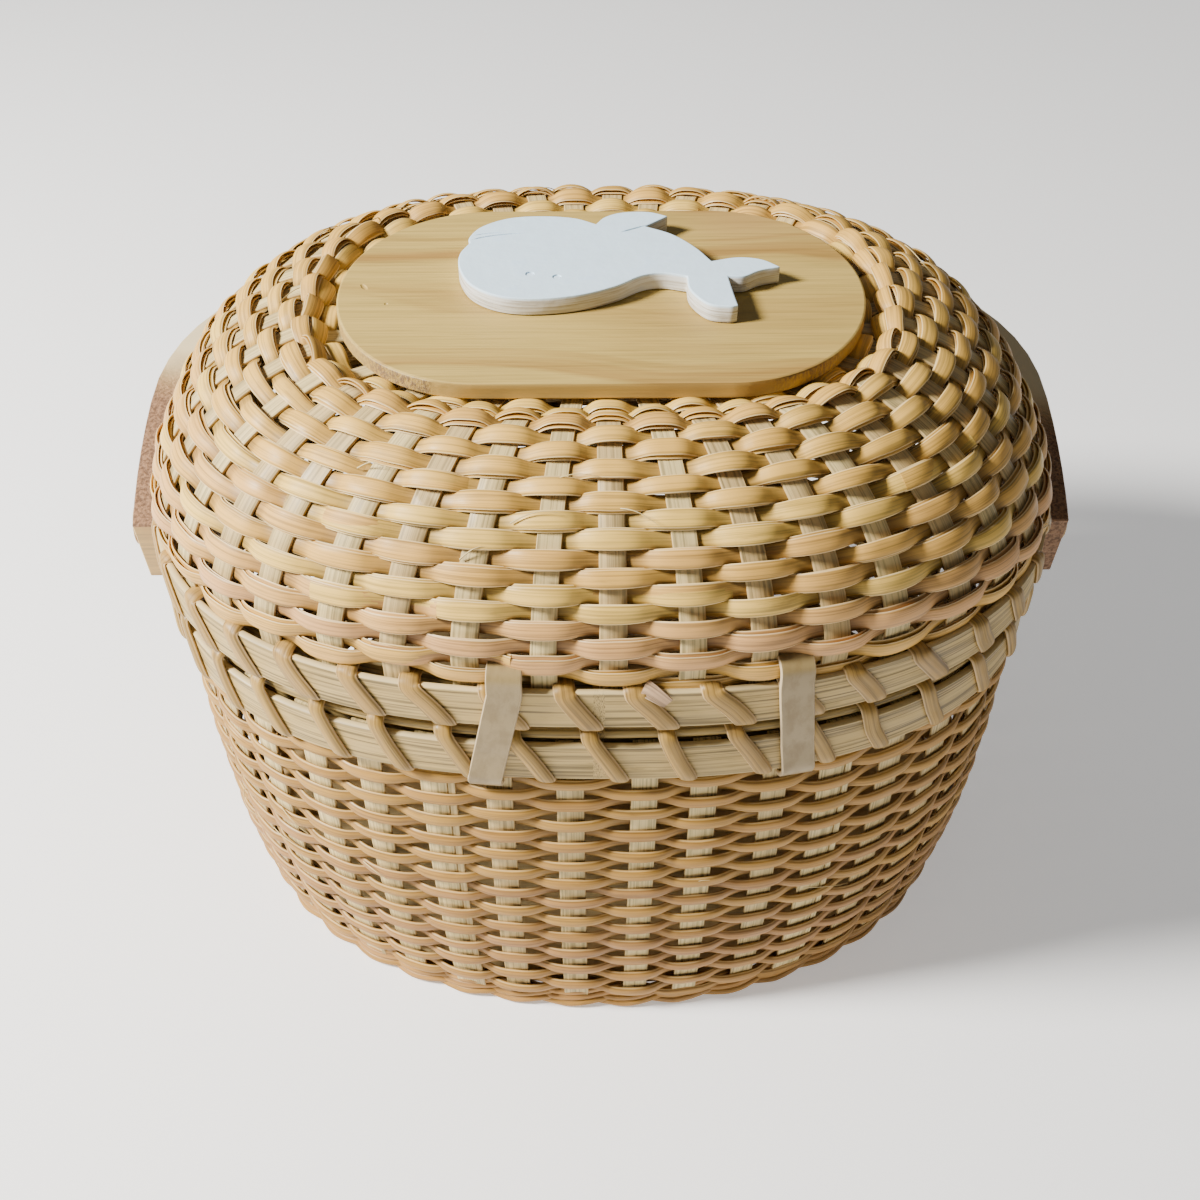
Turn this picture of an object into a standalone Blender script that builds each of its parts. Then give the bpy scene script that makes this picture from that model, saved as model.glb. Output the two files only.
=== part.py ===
"""Oval wicker basket with a hinged woven lid and a wooden swing handle.

Units are metres and +Z is up.  The long axis is X and the strap hinges are on the -Y side.
Every piece is placed from BASKET_CENTRE, the middle of the oval at table height.
"""
import math

import bmesh
import bpy
from mathutils import Vector

# ---------------------------------------------------------------- driving dimensions

# Rims: two flat bamboo hoops with the woven wall held between them.
LID_A, LID_B = 0.130, 0.104          # half length and half depth outside the lid's outer hoop
BODY_A, BODY_B = 0.1285, 0.1034      # the same outside the body's outer hoop
RIM_POWER = 2.45                     # superellipse power of both rims
HOOP_T = 0.002
WEAVE_T = 0.0024                     # thickness of the woven wall's solid
GAP = 0.0003                         # clearance between pieces that touch

BODY_HOOP_Z = (0.1108, 0.1230)
LID_HOOP_Z = (0.1303, 0.1425)
BODY_CORE_R = 0.0019

# Body
FOOT_A, FOOT_B, FOOT_POWER = 0.1195, 0.0968, 2.13    # outside of the woven wall at its foot
BORDER_T, BORDER_H = 0.0090, 0.0070
BASE_T = 0.0040
WALL_FLARE = 2.4                     # how quickly the wall spreads above the foot

# Lid
DOME_A, DOME_B = 0.1290, 0.1030      # outside of the woven dome just above its hoop
DOME_BASE_Z = 0.1470                 # where the dome starts to curve in
DOME_TOP_Z = 0.2030                  # where the dome's curve would close without the plate
DOME_PLAN_POWER, DOME_RISE_POWER = 3.8, 1.7
SHOULDER_SCALE = 0.62                # share of the plan where the dome is highest
SEAT_A, SEAT_B, SEAT_POWER = 0.0755, 0.0530, 2.8     # the hollow that the plate sits in
SEAT_Z = 0.1934
PLATE_A, PLATE_B, PLATE_T = 0.0727, 0.0485, 0.0048
PLATE_STRAIGHT = 0.032               # half length of the plate's straight sides
PLATE_SHIFT = -0.0015                # the plate sits slightly towards the hinges
BACKING_A, BACKING_B, BACKING_T = 0.0640, 0.0400, 0.0030
WHALE_T = 0.0050
SCREW_X, SCREW_Y = 0.044, 0.022

# Handle: a flat wooden bail, folded to the front side (+Y)
PIVOT_Z = 0.118
REST_ANGLE = math.radians(12.0)      # above the horizontal
BAIL_W, BAIL_T = 0.024, 0.008
BAIL_REACH = 0.12236                 # pivot line to the outside of the crown
BAIL_HALF = 0.144                    # widest half width
BAIL_WIDEST = 0.040                  # where along the arm it is widest
BAIL_END_HALF, BAIL_TAIL = 0.1405, 0.012
BAIL_POWER = 2.35
PEG_R, HEAD_R = 0.0030, 0.0070

# Hinge straps: (centre x at the top, centre x at the bottom)
STRAPS = {"left": (-0.0250, -0.0315), "right": (0.0475, 0.0508)}
STRAP_W, STRAP_T = 0.0090, 0.0014
STRAP_Z = (0.1085, 0.1495)
HINGE_OUT = 0.0016                   # hinge line outside the lid's hoop
HINGE_Z = 0.1299

SEGMENTS = 48


def oval_back_y(x, a, b, power):
    """The -Y side of a superellipse at x."""
    return -b * (1 - (abs(x) / a) ** power) ** (1 / power)


# The origin is at the middle of the bounding box, at table height.
FRONT_REACH = BAIL_REACH * math.cos(REST_ANGLE) + BAIL_W / 2 * math.sin(REST_ANGLE)
STRAP_NEAR_X = abs(STRAPS["left"][0]) - STRAP_W / 2
BACK_REACH = STRAP_T - oval_back_y(STRAP_NEAR_X, LID_A + GAP, LID_B + GAP, RIM_POWER)
BASKET_CENTRE = Vector((0.0, (BACK_REACH - FRONT_REACH) / 2, 0.0))

# ---------------------------------------------------------------- scene and materials


def clear_scene():
    for item in list(bpy.data.objects):
        bpy.data.objects.remove(item, do_unlink=True)


def new_collection(name):
    collection = bpy.data.collections.new(name)
    bpy.context.scene.collection.children.link(collection)
    return collection


clear_scene()
PARTS = new_collection("wicker_basket")
CUTTERS = new_collection("cutters")

LOOKS = {                            # colour, roughness, metallic
    "reed": ((0.60, 0.36, 0.15), 0.55, 0.0),
    "bamboo": ((0.76, 0.62, 0.38), 0.50, 0.0),
    "pine": ((0.72, 0.53, 0.28), 0.60, 0.0),
    "handle_wood": ((0.70, 0.52, 0.30), 0.55, 0.0),
    "white_paint": ((0.82, 0.82, 0.80), 0.60, 0.0),
    "strap": ((0.66, 0.50, 0.34), 0.45, 0.0),
    "steel": ((0.55, 0.55, 0.55), 0.35, 1.0),
}


def material_for(name, look):
    colour, roughness, metallic = LOOKS[look]
    material = bpy.data.materials.new(name)
    material.use_nodes = True
    shader = material.node_tree.nodes["Principled BSDF"]
    shader.inputs["Base Color"].default_value = (*colour, 1.0)
    shader.inputs["Roughness"].default_value = roughness
    shader.inputs["Metallic"].default_value = metallic
    return material


def add_object(name, data, look, at=(0.0, 0.0, 0.0)):
    """Link a new object at a place measured from the basket's centre."""
    item = bpy.data.objects.new(name, data)
    item.location = BASKET_CENTRE + Vector(at)
    data.materials.append(material_for(name, look))
    PARTS.objects.link(item)
    return item


def shade(item, angle=40.0):
    item.data.shade_smooth()
    item.data.set_sharp_from_angle(angle=math.radians(angle))


def add_bevel(item, width, segments=2):
    bevel = item.modifiers.new("Rounded edges", "BEVEL")
    bevel.width = width
    bevel.segments = segments
    bevel.limit_method = "ANGLE"
    bevel.angle_limit = math.radians(50)


# ---------------------------------------------------------------- shape helpers


def signed_power(value, power):
    return math.copysign(abs(value) ** power, value)


def oval(a, b, power, count=SEGMENTS):
    """Points of a superellipse, anticlockwise seen from above."""
    points = []
    for i in range(count):
        angle = 2 * math.pi * (i + 0.5) / count
        points.append((a * signed_power(math.cos(angle), 2 / power),
                       b * signed_power(math.sin(angle), 2 / power)))
    return points


def racetrack(a, b, straight, count=40):
    """An oval with two straight sides of half length straight and elliptical ends."""
    points = []
    for i in range(count):
        angle = 2 * math.pi * (i + 0.5) / count
        x = (a - straight) * math.cos(angle) + math.copysign(straight, math.cos(angle))
        points.append((x, b * math.sin(angle)))
    return points


def woven_shell(name, rows, thickness, look, closed_top=False):
    """A wall lofted through oval rows (z, a, b, power), bottom to top, thickened inwards."""
    mesh = bpy.data.meshes.new(name)
    bm = bmesh.new()
    rings = [[bm.verts.new((x, y, z)) for x, y in oval(a, b, power)] for z, a, b, power in rows]
    for low, high in zip(rings, rings[1:]):
        for i in range(SEGMENTS):
            j = (i + 1) % SEGMENTS
            bm.faces.new((low[i], low[j], high[j], high[i]))
    if closed_top:
        bm.faces.new(rings[-1])
    bm.to_mesh(mesh)
    bm.free()
    item = add_object(name, mesh, look)
    solid = item.modifiers.new("Thickness", "SOLIDIFY")
    solid.thickness = thickness
    solid.offset = -1.0
    solid.use_even_offset = True
    shade(item)
    return item


def hoop(name, a, b, z_range, look="bamboo"):
    """A flat hoop, given by its outside oval."""
    rows = [(z, a, b, RIM_POWER) for z in z_range]
    return woven_shell(name, rows, HOOP_T, look)


def round_core(name, a, b, z, radius):
    """A round filler reed bent to the rim's oval."""
    curve = bpy.data.curves.new(name, "CURVE")
    curve.dimensions = "3D"
    curve.bevel_depth = radius
    curve.bevel_resolution = 2
    spline = curve.splines.new("POLY")
    points = oval(a, b, RIM_POWER)
    spline.points.add(len(points) - 1)
    for point, (x, y) in zip(spline.points, points):
        point.co = (x, y, 0.0, 1.0)
    spline.use_cyclic_u = True
    return add_object(name, curve, "reed", (0.0, 0.0, z))


def flat_curve(name, splines, thickness, look, at):
    """A filled 2D outline with a thickness, its underside at the given place."""
    curve = bpy.data.curves.new(name, "CURVE")
    curve.dimensions = "2D"
    curve.fill_mode = "BOTH"
    curve.extrude = thickness / 2
    for points in splines:
        spline = curve.splines.new("POLY")
        spline.points.add(len(points) - 1)
        for point, (x, y) in zip(spline.points, points):
            point.co = (x, y, 0.0, 1.0)
        spline.use_cyclic_u = True
    x, y, z = at
    return add_object(name, curve, look, (x, y, z + thickness / 2))


def to_mesh(item):
    """Swap a curve object for a mesh object with welded caps, so that it can be cut."""
    name = item.name
    matrix = item.matrix_basis.copy()
    bpy.context.view_layer.update()
    graph = bpy.context.evaluated_depsgraph_get()
    mesh = bpy.data.meshes.new_from_object(item.evaluated_get(graph))
    bpy.data.objects.remove(item, do_unlink=True)
    bm = bmesh.new()
    bm.from_mesh(mesh)
    bmesh.ops.remove_doubles(bm, verts=bm.verts, dist=0.000002)
    bmesh.ops.recalc_face_normals(bm, faces=bm.faces)
    bm.to_mesh(mesh)
    bm.free()
    mesh.name = name
    solid = bpy.data.objects.new(name, mesh)
    solid.matrix_basis = matrix
    PARTS.objects.link(solid)
    return solid


def turned(name, profile, look, at, direction, steps=20):
    """A turned piece: (radius, height) points run down the outer side, top to bottom."""
    mesh = bpy.data.meshes.new(name)
    points = [(radius, 0.0, height) for radius, height in profile]
    edges = [(i, i + 1) for i in range(len(points) - 1)]
    mesh.from_pydata(points, edges, [])
    item = add_object(name, mesh, look, at)
    item.rotation_euler = Vector(direction).to_track_quat("Z", "Y").to_euler()
    screw = item.modifiers.new("Turned", "SCREW")
    screw.steps = steps
    screw.render_steps = steps
    screw.use_merge_vertices = True
    screw.merge_threshold = 0.00001
    return item


def cutter(name, radius, length, at, direction):
    """A cylinder that drills a hole, centred at a place measured from the basket's centre."""
    bpy.ops.mesh.primitive_cylinder_add(vertices=20, radius=radius, depth=length)
    item = bpy.context.object
    item.name = name
    item.location = BASKET_CENTRE + Vector(at)
    item.rotation_euler = Vector(direction).to_track_quat("Z", "Y").to_euler()
    item.hide_render = True
    item.display_type = "WIRE"
    for owner in list(item.users_collection):
        owner.objects.unlink(item)
    CUTTERS.objects.link(item)
    return item


def drill(item, tools):
    for tool in tools:
        cut = item.modifiers.new("Hole " + tool.name, "BOOLEAN")
        cut.operation = "DIFFERENCE"
        cut.object = tool


# ---------------------------------------------------------------- body


def wall_rows():
    """Outside of the woven wall from its foot to the rim."""
    top_a = BODY_A - HOOP_T - GAP
    top_b = BODY_B - HOOP_T - GAP
    low, high = BORDER_H + GAP, BODY_HOOP_Z[1] - 0.001
    rows = []
    for t in (0.0, 0.07, 0.16, 0.30, 0.50, 0.75, 1.0):
        spread = 1 - (1 - t) ** WALL_FLARE
        rows.append((low + (high - low) * t,
                     FOOT_A + (top_a - FOOT_A) * spread,
                     FOOT_B + (top_b - FOOT_B) * spread,
                     FOOT_POWER + (RIM_POWER - FOOT_POWER) * spread))
    return rows


def foot_border():
    """The twined border that the basket stands on, a flat-bottomed ring of woven ends."""
    rows = [(z, FOOT_A + 0.0008, FOOT_B + 0.0008, FOOT_POWER) for z in (0.0, BORDER_H)]
    item = woven_shell("foot_border", rows, BORDER_T, "reed")
    add_bevel(item, 0.0022)


def make_body():
    wall = woven_shell("body_wall", wall_rows(), WEAVE_T, "reed")
    outer = hoop("body_outer_hoop", BODY_A, BODY_B, BODY_HOOP_Z)
    inset = HOOP_T + GAP + WEAVE_T + GAP
    inner = hoop("body_inner_hoop", BODY_A - inset, BODY_B - inset, BODY_HOOP_Z)
    middle = HOOP_T + GAP + WEAVE_T / 2
    round_core("body_rim_core", BODY_A - middle, BODY_B - middle,
               BODY_HOOP_Z[1] + GAP + BODY_CORE_R, BODY_CORE_R)
    foot_border()
    inside = WEAVE_T + 2 * GAP + 0.0006
    flat_curve("base_board", [oval(FOOT_A - inside, FOOT_B - inside, FOOT_POWER)],
               BASE_T, "pine", (0.0, 0.0, BORDER_H + GAP))
    holes = [cutter("pivot_hole_" + side, PEG_R + GAP, 0.020, (sign * 0.125, 0.0, PIVOT_Z), (1, 0, 0))
             for side, sign in (("left", -1), ("right", 1))]
    for item in (wall, outer, inner):
        drill(item, holes)


# ---------------------------------------------------------------- lid


def dome_rows():
    """Outside of the woven dome, from inside its hoop over the shoulder to the plate's seat."""
    rim_a = LID_A - HOOP_T - GAP
    rim_b = LID_B - HOOP_T - GAP
    low, base = LID_HOOP_Z
    rows = [(low + 0.001, rim_a, rim_b, RIM_POWER),
            (base, rim_a, rim_b, RIM_POWER),
            (DOME_BASE_Z + 0.004, DOME_A - 0.0004, DOME_B - 0.0004, RIM_POWER)]
    for scale in (0.972, 0.925, 0.86, 0.78, 0.70, SHOULDER_SCALE):
        rise = (1 - scale ** DOME_PLAN_POWER) ** (1 / DOME_RISE_POWER)
        power = RIM_POWER + (SEAT_POWER - RIM_POWER) * (1 - scale)
        rows.append((DOME_BASE_Z + (DOME_TOP_Z - DOME_BASE_Z) * rise, DOME_A * scale,
                     DOME_B * scale, power))
    rows.append((SEAT_Z, SEAT_A, SEAT_B, SEAT_POWER))
    return rows


# The whale's outline, anticlockwise.  Each run is one smooth edge between two corners.
WHALE_RUNS = (
    # belly, from the mouth to the root of the tail
    ((-0.0370, 0.0075), (-0.0394, 0.0005), (-0.0388, -0.0080), (-0.0350, -0.0170),
     (-0.0275, -0.0230), (-0.0180, -0.0246), (-0.0065, -0.0227), (0.0035, -0.0180),
     (0.0108, -0.0122), (0.0165, -0.0106), (0.0233, -0.0125)),
    # near fluke
    ((0.0233, -0.0125), (0.0238, -0.0200), (0.0280, -0.0275), (0.0335, -0.0292), (0.0360, -0.0286)),
    ((0.0360, -0.0286), (0.0353, -0.0220), (0.0345, -0.0126)),
    # far fluke
    ((0.0345, -0.0126), (0.0390, -0.0126), (0.0435, -0.0094), (0.0493, -0.0074)),
    ((0.0493, -0.0074), (0.0445, -0.0030), (0.0380, -0.0017), (0.0306, -0.0038)),
    # back
    ((0.0306, -0.0038), (0.0265, 0.0045), (0.0205, 0.0123), (0.0130, 0.0174)),
    # fin
    ((0.0130, 0.0174), (0.0197, 0.0237)),
    ((0.0197, 0.0237), (0.0140, 0.0265), (0.0065, 0.0262), (0.0015, 0.0234), (-0.0012, 0.0189)),
    # head
    ((-0.0012, 0.0189), (-0.0075, 0.0227), (-0.0170, 0.0241), (-0.0265, 0.0228),
     (-0.0340, 0.0176), (-0.0372, 0.0110), (-0.0370, 0.0075)),
)
BRADS = ((-0.0195, -0.0024), (-0.0121, -0.0041))


def smooth_run(points, steps=3):
    """A Catmull-Rom curve through the points, without its last point."""
    first = tuple(2 * p - q for p, q in zip(points[0], points[1]))
    last = tuple(2 * p - q for p, q in zip(points[-1], points[-2]))
    guide = [first, *points, last]
    curve = []
    for p0, p1, p2, p3 in zip(guide, guide[1:], guide[2:], guide[3:]):
        for i in range(steps):
            t = i / steps
            curve.append(tuple(
                0.5 * (2 * b + (c - a) * t + (2 * a - 5 * b + 4 * c - d) * t ** 2
                       + (3 * b - a - 3 * c + d) * t ** 3)
                for a, b, c, d in zip(p0, p1, p2, p3)))
    return curve


def make_whale(top_of_plate):
    outline = []
    for run in WHALE_RUNS:
        outline += smooth_run(run) if len(run) > 2 else run[:1]
    whale = flat_curve("whale_plaque", [outline], WHALE_T, "white_paint",
                       (0.0, 0.0, top_of_plate + GAP))
    return to_mesh(whale)


def make_lid():
    dome = woven_shell("lid_dome", dome_rows(), WEAVE_T, "reed", closed_top=True)
    hoop("lid_outer_hoop", LID_A, LID_B, LID_HOOP_Z)
    inset = HOOP_T + GAP + WEAVE_T + GAP
    hoop("lid_inner_hoop", LID_A - inset, LID_B - inset, LID_HOOP_Z)
    under = SEAT_Z + GAP
    plate = flat_curve("lid_plate", [racetrack(PLATE_A, PLATE_B, PLATE_STRAIGHT)], PLATE_T, "pine",
                       (0.0, PLATE_SHIFT, under))
    plate = to_mesh(plate)
    backing_top = under - GAP - WEAVE_T - GAP
    backing = flat_curve("lid_backing", [racetrack(BACKING_A, BACKING_B, PLATE_STRAIGHT)],
                         BACKING_T, "pine", (0.0, PLATE_SHIFT, backing_top - BACKING_T))
    backing = to_mesh(backing)
    make_screws(dome, plate, backing, backing_top - BACKING_T, under)
    whale = make_whale(under + PLATE_T)
    make_brads(whale, plate, under + PLATE_T + GAP + WHALE_T)
    for item in (plate, whale):
        shade(item)


def make_screws(dome, plate, backing, head_top, plate_under):
    """Four screws from inside the lid clamp the weave between backing and plate."""
    radius, head_radius, head_h, bite = 0.0014, 0.0030, 0.0013, 0.0032
    tip = plate_under + bite - head_top + GAP
    profile = [(0.0, tip), (radius * 0.5, tip - 0.0004), (radius, tip - 0.0016), (radius, 0.0),
               (head_radius, 0.0), (head_radius * 0.75, -head_h), (0.0, -head_h)]
    number = 0
    for x in (-SCREW_X, SCREW_X):
        for y in (-SCREW_Y, SCREW_Y):
            number += 1
            turned(f"plate_screw_{number}", profile, "steel", (x, y, head_top - GAP), (0, 0, 1), 12)
            depth = tip + 2 * GAP
            hole = cutter(f"screw_hole_{number}", radius + GAP, depth,
                          (x, y, head_top - GAP + depth / 2), (0, 0, 1))
            drill(dome, [hole])
            drill(plate, [hole])
            drill(backing, [hole])


def make_brads(whale, plate, whale_top):
    """Two brads driven through the whale into the plate."""
    radius, head_radius, head_h, length = 0.0006, 0.0010, 0.0006, 0.0080
    profile = [(0.0, 0.0), (head_radius, 0.0), (head_radius, -head_h), (radius, -head_h),
               (radius, -length + 0.0012), (0.0, -length)]
    for number, (x, y) in enumerate(BRADS, start=1):
        turned(f"whale_brad_{number}", profile, "steel", (x, y, whale_top - GAP), (0, 0, 1), 10)
        shank = cutter(f"brad_hole_{number}", radius + GAP, 2 * (length + GAP),
                       (x, y, whale_top - GAP), (0, 0, 1))
        head = cutter(f"brad_sink_{number}", head_radius + GAP, 2 * (head_h + 2 * GAP),
                      (x, y, whale_top), (0, 0, 1))
        drill(whale, [shank, head])
        drill(plate, [shank])


# ---------------------------------------------------------------- handle


def arm_half_width(along):
    """Half width outside the bail's arm, from its tail to its widest point."""
    share = (BAIL_WIDEST - along) / (BAIL_WIDEST + BAIL_TAIL)
    return BAIL_HALF - (BAIL_HALF - BAIL_END_HALF) * share ** 2


def bail_side(inset, steps=16):
    """One side of the bail, tail to crown, as (half width, distance from the pivot line)."""
    points = []
    for i in range(5):
        along = -BAIL_TAIL + (BAIL_WIDEST + BAIL_TAIL) * i / 5
        points.append((arm_half_width(along) - inset, along))
    for i in range(steps + 1):
        angle = math.pi / 2 * i / steps
        x = (BAIL_HALF - inset) * math.cos(angle) ** (2 / BAIL_POWER)
        reach = BAIL_REACH - inset - BAIL_WIDEST
        points.append((x, BAIL_WIDEST + reach * math.sin(angle) ** (2 / BAIL_POWER)))
    points[-1] = (0.0, points[-1][1])
    return points


def make_handle():
    outer = bail_side(0.0)
    inner = bail_side(BAIL_T)
    right_out = outer[:-1]
    left_out = [(-x, y) for x, y in reversed(outer)]
    left_in = [(-x, y) for x, y in inner[:-1]]
    right_in = list(reversed(inner))
    outline = right_out + left_out + left_in + right_in
    bail = flat_curve("handle", [outline], BAIL_W, "handle_wood", (0.0, 0.0, -BAIL_W / 2))
    bail.location = BASKET_CENTRE + Vector((0.0, 0.0, PIVOT_Z))
    bail.rotation_euler = (REST_ANGLE, 0.0, 0.0)
    bail = to_mesh(bail)
    holes = [cutter("bail_hole_" + side, PEG_R + GAP, 0.030, (sign * 0.1385, 0.0, PIVOT_Z), (1, 0, 0))
             for side, sign in (("left", -1), ("right", 1))]
    add_bevel(bail, 0.0012, 1)
    drill(bail, holes)
    shade(bail)


def make_pivots():
    """On each side a wooden peg, a spacer outside the rim and a button inside it."""
    hoop_outside = BODY_A + GAP
    spacer_end = BAIL_END_HALF - BAIL_T + 0.0004
    head_under = arm_half_width(0.0) + 0.0010
    inner_face = BODY_A - 2 * HOOP_T - WEAVE_T - 3 * GAP
    button_t = 0.0030
    shank_end = inner_face - button_t
    for side, sign in (("left", -1), ("right", 1)):
        outward = (sign, 0, 0)
        head_t = 0.0010
        profile = [(0.0, head_under + head_t), (HEAD_R * 0.7, head_under + head_t - 0.0001),
                   (HEAD_R, head_under + 0.0004), (HEAD_R, head_under), (PEG_R, head_under),
                   (PEG_R, shank_end), (0.0, shank_end)]
        turned("pivot_peg_" + side, profile, "handle_wood", (0.0, 0.0, PIVOT_Z), outward)
        bore = PEG_R + GAP
        ring = [(bore, spacer_end), (HEAD_R + 0.0010, spacer_end), (HEAD_R + 0.0010, hoop_outside),
                (bore, hoop_outside), (bore, spacer_end)]
        turned("pivot_spacer_" + side, ring, "handle_wood", (0.0, 0.0, PIVOT_Z), outward)
        button = [(bore, inner_face), (0.0065, inner_face), (0.0065, shank_end + 0.0010),
                  (0.0055, shank_end), (bore, shank_end), (bore, inner_face)]
        turned("pivot_button_" + side, button, "handle_wood", (0.0, 0.0, PIVOT_Z), outward)


# ---------------------------------------------------------------- hinge straps


def strap_half(name, centres, z_range, a, b):
    """A strip of leather lying on the outside of a hoop, from z_range[0] up to z_range[1]."""
    mesh = bpy.data.meshes.new(name)
    bm = bmesh.new()
    top_x, bottom_x = centres
    grid = []
    for z in (z_range[0], sum(z_range) / 2, z_range[1]):
        share = (z - STRAP_Z[0]) / (STRAP_Z[1] - STRAP_Z[0])
        centre = bottom_x + (top_x - bottom_x) * share
        row = []
        for step in range(4):
            x = centre + STRAP_W * (step / 3 - 0.5)
            row.append(bm.verts.new((x, oval_back_y(x, a + GAP, b + GAP, RIM_POWER), z)))
        grid.append(row)
    for low, high in zip(grid, grid[1:]):
        for i in range(3):
            bm.faces.new((low[i], low[i + 1], high[i + 1], high[i]))
    bm.to_mesh(mesh)
    bm.free()
    item = add_object(name, mesh, "strap")
    solid = item.modifiers.new("Thickness", "SOLIDIFY")
    solid.thickness = STRAP_T
    solid.offset = 1.0
    shade(item)
    return item


def make_straps():
    for side, centres in STRAPS.items():
        strap_half(f"strap_{side}_lid", centres, (HINGE_Z + 0.0008, STRAP_Z[1]), LID_A, LID_B)
        strap_half(f"strap_{side}_body", centres, (STRAP_Z[0], HINGE_Z - 0.0013), BODY_A, BODY_B)


def hang_lid_on_hinge():
    """Parent everything that lifts with the lid to an empty on the hinge line."""
    hinge = bpy.data.objects.new("lid_hinge_line", None)
    hinge.location = BASKET_CENTRE + Vector((0.0, -(LID_B + HINGE_OUT), HINGE_Z))
    hinge.empty_display_size = 0.02
    PARTS.objects.link(hinge)
    prefixes = ("lid_", "whale_", "plate_screw_")
    for item in PARTS.objects:
        if item != hinge and (item.name.startswith(prefixes) or item.name.endswith("_lid")):
            item.parent = hinge
            item.location -= hinge.location


make_body()
make_lid()
make_handle()
make_pivots()
make_straps()
hang_lid_on_hinge()
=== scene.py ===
"""Looks for the wicker basket: woven reed, bamboo hoops, lashings, wood, leather and the studio."""
import math

import bmesh
import bpy
import numpy as np
from mathutils import Matrix, Vector


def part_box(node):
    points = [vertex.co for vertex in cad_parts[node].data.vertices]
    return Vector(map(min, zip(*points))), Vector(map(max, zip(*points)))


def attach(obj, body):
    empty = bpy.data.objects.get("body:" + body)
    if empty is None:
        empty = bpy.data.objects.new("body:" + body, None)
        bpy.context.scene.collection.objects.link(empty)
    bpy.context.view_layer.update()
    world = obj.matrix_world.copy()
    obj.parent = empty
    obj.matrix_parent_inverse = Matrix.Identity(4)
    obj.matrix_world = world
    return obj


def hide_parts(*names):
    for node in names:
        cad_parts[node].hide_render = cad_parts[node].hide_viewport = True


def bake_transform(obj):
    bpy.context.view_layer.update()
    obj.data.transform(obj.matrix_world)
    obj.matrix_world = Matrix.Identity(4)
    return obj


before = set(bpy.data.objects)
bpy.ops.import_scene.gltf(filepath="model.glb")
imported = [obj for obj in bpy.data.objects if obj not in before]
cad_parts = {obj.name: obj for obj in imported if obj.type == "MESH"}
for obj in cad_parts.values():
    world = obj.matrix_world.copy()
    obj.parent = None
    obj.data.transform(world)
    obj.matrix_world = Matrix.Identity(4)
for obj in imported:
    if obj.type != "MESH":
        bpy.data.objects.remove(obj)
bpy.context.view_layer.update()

RNG = np.random.default_rng(41)

# ---- sizes, from the frame


def half_sizes(node):
    low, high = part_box(node)
    return (high.x - low.x) / 2, (high.y - low.y) / 2


def z_range(node):
    low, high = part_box(node)
    return low.z, high.z


def middle(node):
    low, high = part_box(node)
    return (low + high) / 2


CENTRE = Vector((middle("lid_outer_hoop").x, middle("lid_outer_hoop").y, 0.0))
LID_A, LID_B = half_sizes("lid_outer_hoop")
BODY_A, BODY_B = half_sizes("body_outer_hoop")
LID_LOW, LID_HIGH = z_range("lid_outer_hoop")
BODY_LOW, BODY_HIGH = z_range("body_outer_hoop")
PLATE_LOW, PLATE_HIGH = z_range("lid_plate")
WHALE_LOW, WHALE_HIGH = z_range("whale_plaque")
FOOT_HIGH = z_range("foot_border")[1]
RIM_POWER, FOOT_POWER = 2.45, 2.13   # superellipse powers of both rims and of the foot
RIM_ROUND = 0.72                     # metres round a rim, near enough to turn lengths into shares

STAKES = 41                          # odd, so that one spiral of reed weaves plainly
STAKE_W, STAKE_T = 0.0073, 0.0009
EXTRA_W, EXTRA_AWAY = 0.0019, 0.0048         # thin splints beside some of the stakes
LID_REED_W, BODY_REED_W = 0.0052, 0.0040
LID_REED_T, BODY_REED_T = 0.0008, 0.0014     # the lid's reed is laid double, the body's single
LID_PITCH, BODY_PITCH = 0.00455, 0.00425
HOOP_T = 0.0020
HOOP_GAP = 0.0003
WALL_T = 0.0024                      # what the two hoops of a rim hold between them
LID_LASH, BODY_LASH = (0.0056, 0.0014), (0.0046, 0.0017)
STRAP_W, STRAP_T = 0.0090, 0.0014
WEAVE_STEPS = 10                     # cross-sections from one stake to the next
RIM_COLUMNS = 1200                   # points round a rim's oval
REST_ANGLE = math.radians(12)        # the folded handle's angle above the horizontal

# ---- making objects


def add_object(name, data):
    item = bpy.data.objects.new(name, data)
    bpy.context.scene.collection.objects.link(item)
    return item


def mesh_from(name, bm):
    mesh = bpy.data.meshes.new(name)
    bm.to_mesh(mesh)
    bm.free()
    return mesh


def evaluated_mesh(item):
    """The item's mesh with its modifiers applied."""
    depsgraph = bpy.context.evaluated_depsgraph_get()
    return bpy.data.meshes.new_from_object(item.evaluated_get(depsgraph))


# ---- surfaces to weave on


def oval_ring(a, b, power, count):
    """Points evenly spaced round a superellipse, from the back's middle towards +X."""
    angle = np.linspace(0, 2 * math.pi, 4001)
    sine, cosine = np.sin(angle), np.cos(angle)
    x = a * np.sign(sine) * np.abs(sine) ** (2 / power)
    y = -b * np.sign(cosine) * np.abs(cosine) ** (2 / power)
    length = np.concatenate([[0], np.cumsum(np.hypot(np.diff(x), np.diff(y)))])
    even = np.linspace(0, length[-1], count + 1)
    return np.stack([np.interp(even, length, x), np.interp(even, length, y)], axis=1)


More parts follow.
